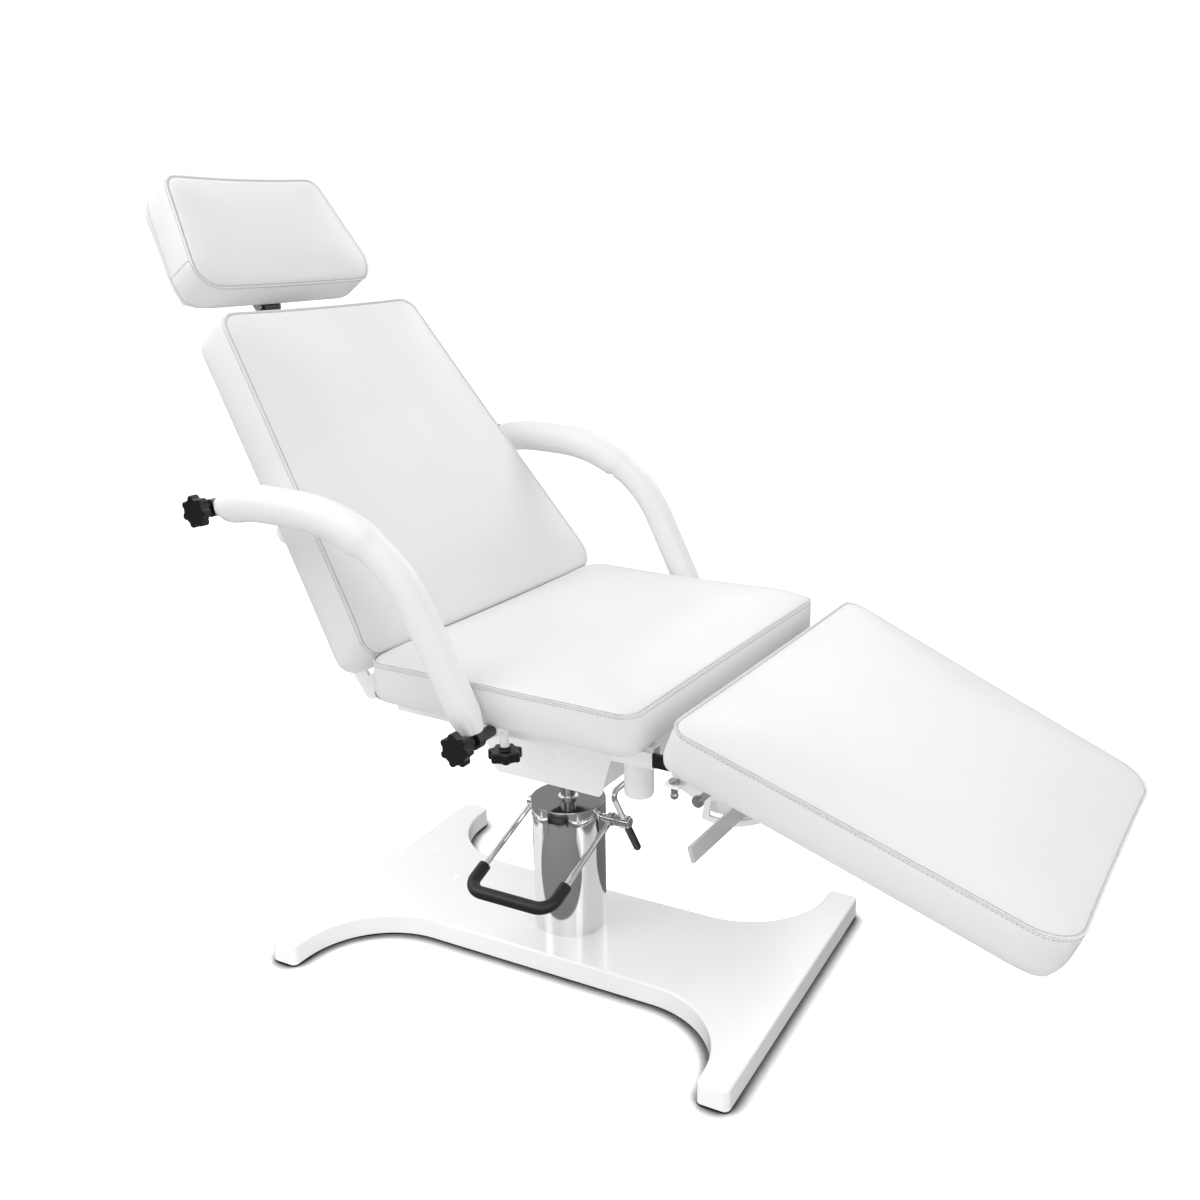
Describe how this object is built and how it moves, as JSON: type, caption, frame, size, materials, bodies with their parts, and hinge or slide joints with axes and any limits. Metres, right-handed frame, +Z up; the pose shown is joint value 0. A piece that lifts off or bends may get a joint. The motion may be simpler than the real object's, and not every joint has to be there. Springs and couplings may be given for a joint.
{
  "type": "reclining treatment chair",
  "caption": "White padded treatment chair with adjustable back, headrest, leg rest and curved armrests on a foot-pumped hydraulic column and an H-shaped base plate.",
  "frame": {"origin": "on the floor, on the vertical axis of the pump in the middle of the base plate", "axes": "+X towards the foot end, +Y to the sitter's left, +Z up"},
  "size_m": [1.5069, 0.7448, 1.2343],
  "materials": {
    "white_leather": "satin, fine grain, double-stitched seams",
    "plywood": "plain",
    "white_paint": "gloss powder coat",
    "black_paint": "satin",
    "chrome": "polished",
    "zinc": "zinc plated",
    "steel": "machined",
    "casting": "as cast",
    "black_rubber": "matte",
    "black_plastic": "fine texture"
  },
  "bodies": {
    "base": {"base_plate": "white_paint", "base_glides": "black_rubber", "pump_bolts": "steel", "pump_tank": "steel", "ram_barrel": "steel", "pump_head": "casting", "pump_cover": "chrome", "pump_collar": "chrome", "gland_ring": "chrome", "cross_pins": "chrome", "lever_spring": "zinc"},
    "pedal": {"pedal_frame": "chrome", "pedal_sleeve": "black_rubber"},
    "lever": {"brake_lever": "chrome", "lever_grip": "black_plastic"},
    "ram": {"lift_ram": "chrome", "ram_piston": "steel", "thrust_washer": "steel"},
    "seat": {"swivel_hub": "steel", "carriage_box": "white_paint", "frame_posts": "white_paint", "seat_frame": "white_paint", "arm_cross_tube": "white_paint", "arm_stubs": "black_paint", "seat_board": "plywood", "seat_cushion": "white_leather", "leg_hinge_arms": "black_paint", "stop_screws": "zinc", "back_hinge_lugs": "white_paint", "hinge_pins": "zinc", "stay_arms": "white_paint", "lock_bar": "zinc"},
    "leg": {"leg_cushion": "white_leather", "leg_board": "plywood", "leg_hinge_leaves": "black_paint", "leg_quadrants": "white_paint", "quadrant_rod": "zinc"},
    "back": {"back_cushion": "white_leather", "back_board": "plywood", "back_hinge_plates": "white_paint", "arm_guides": "white_paint", "head_sleeve": "white_paint"},
    "head_slide": {"head_bar": "black_paint"},
    "head": {"head_lugs": "black_paint", "head_pin": "zinc", "head_board": "plywood", "head_cushion": "white_leather"},
    "head_lock": {"head_lock_knob": "black_plastic"},
    "arm_right": {"arm_frame_right": "black_paint", "arm_pad_right": "white_leather", "arm_stud_right": "zinc"},
    "lower_knob_right": {"lower_arm_knob_right": "black_plastic"},
    "upper_knob_right": {"upper_arm_knob_right": "black_plastic"},
    "clamp_knob_right": {"clamp_knob_right": "black_plastic"},
    "arm_left": {"arm_frame_left": "black_paint", "arm_pad_left": "white_leather", "arm_stud_left": "zinc"},
    "lower_knob_left": {"lower_arm_knob_left": "black_plastic"},
    "upper_knob_left": {"upper_arm_knob_left": "black_plastic"},
    "clamp_knob_left": {"clamp_knob_left": "black_plastic"}
  },
  "joints": [
    {"name": "pedal_press", "type": "hinge", "parent": "base", "child": "pedal", "pos_m": [0, 0, 0.238], "axis": [0.9986, 0.0523, 0], "range_deg": [0, 24], "stiffness_Nm_per_rad": 4, "springref_deg": -17.19},
    {"name": "lever_tilt", "type": "hinge", "parent": "base", "child": "lever", "pos_m": [0, 0, 0.238], "axis": [0.9986, 0.0523, 0], "range_deg": [-10, 10], "stiffness_Nm_per_rad": 4},
    {"name": "seat_lift", "type": "slide", "parent": "base", "child": "ram", "axis": [0, 0, 1], "range_m": [0, 0.16]},
    {"name": "seat_swivel", "type": "hinge", "parent": "ram", "child": "seat", "pos_m": [0, 0, 0.43], "axis": [0, 0, 1], "continuous": true},
    {"name": "leg_tilt", "type": "hinge", "parent": "seat", "child": "leg", "pos_m": [0.346, 0, 0.488], "axis": [0, 1, 0], "range_deg": [-21.3, 38.7]},
    {"name": "back_recline", "type": "hinge", "parent": "seat", "child": "back", "pos_m": [-0.158, 0, 0.494], "axis": [0, -1, 0], "range_deg": [0, 54]},
    {"name": "head_height", "type": "slide", "parent": "back", "child": "head_slide", "axis": [-0.5793, 0, 0.8151], "range_m": [-0.02, 0.06]},
    {"name": "head_tilt", "type": "hinge", "parent": "head_slide", "child": "head", "pos_m": [-0.58149, 0, 1.02604], "axis": [0, 1, 0], "range_deg": [-30, 20]},
    {"name": "head_lock_turn", "type": "hinge", "parent": "back", "child": "head_lock", "pos_m": [-0.49438, 0, 0.89656], "axis": [0.8151, 0, 0.5793], "continuous": true},
    {"name": "arm_swing_right", "type": "hinge", "parent": "seat", "child": "arm_right", "pos_m": [0.071, 0, 0.496], "axis": [0, -1, 0], "range_deg": [0, 36.72]},
    {"name": "lower_knob_turn_right", "type": "hinge", "parent": "seat", "child": "lower_knob_right", "pos_m": [0.071, -0.3654, 0.496], "axis": [0, -1, 0], "continuous": true},
    {"name": "upper_knob_turn_right", "type": "hinge", "parent": "arm_right", "child": "upper_knob_right", "pos_m": [-0.3782, -0.3654, 0.76697], "axis": [0, -1, 0], "continuous": true},
    {"name": "clamp_knob_turn_right", "type": "hinge", "parent": "seat", "child": "clamp_knob_right", "pos_m": [0.071, -0.261, 0.45], "axis": [0, 0, 1], "continuous": true},
    {"name": "arm_swing_left", "type": "hinge", "parent": "seat", "child": "arm_left", "pos_m": [0.071, 0, 0.496], "axis": [0, -1, 0], "range_deg": [0, 36.72]},
    {"name": "lower_knob_turn_left", "type": "hinge", "parent": "seat", "child": "lower_knob_left", "pos_m": [0.071, 0.3654, 0.496], "axis": [0, 1, 0], "continuous": true},
    {"name": "upper_knob_turn_left", "type": "hinge", "parent": "arm_left", "child": "upper_knob_left", "pos_m": [-0.3782, 0.3654, 0.76697], "axis": [0, 1, 0], "continuous": true},
    {"name": "clamp_knob_turn_left", "type": "hinge", "parent": "seat", "child": "clamp_knob_left", "pos_m": [0.071, 0.261, 0.45], "axis": [0, 0, 1], "continuous": true}
  ],
  "couplings": [
    {"joint": "arm_swing_right", "follows": "back_recline", "ratio": 0.68},
    {"joint": "arm_swing_left", "follows": "back_recline", "ratio": 0.68}
  ]
}
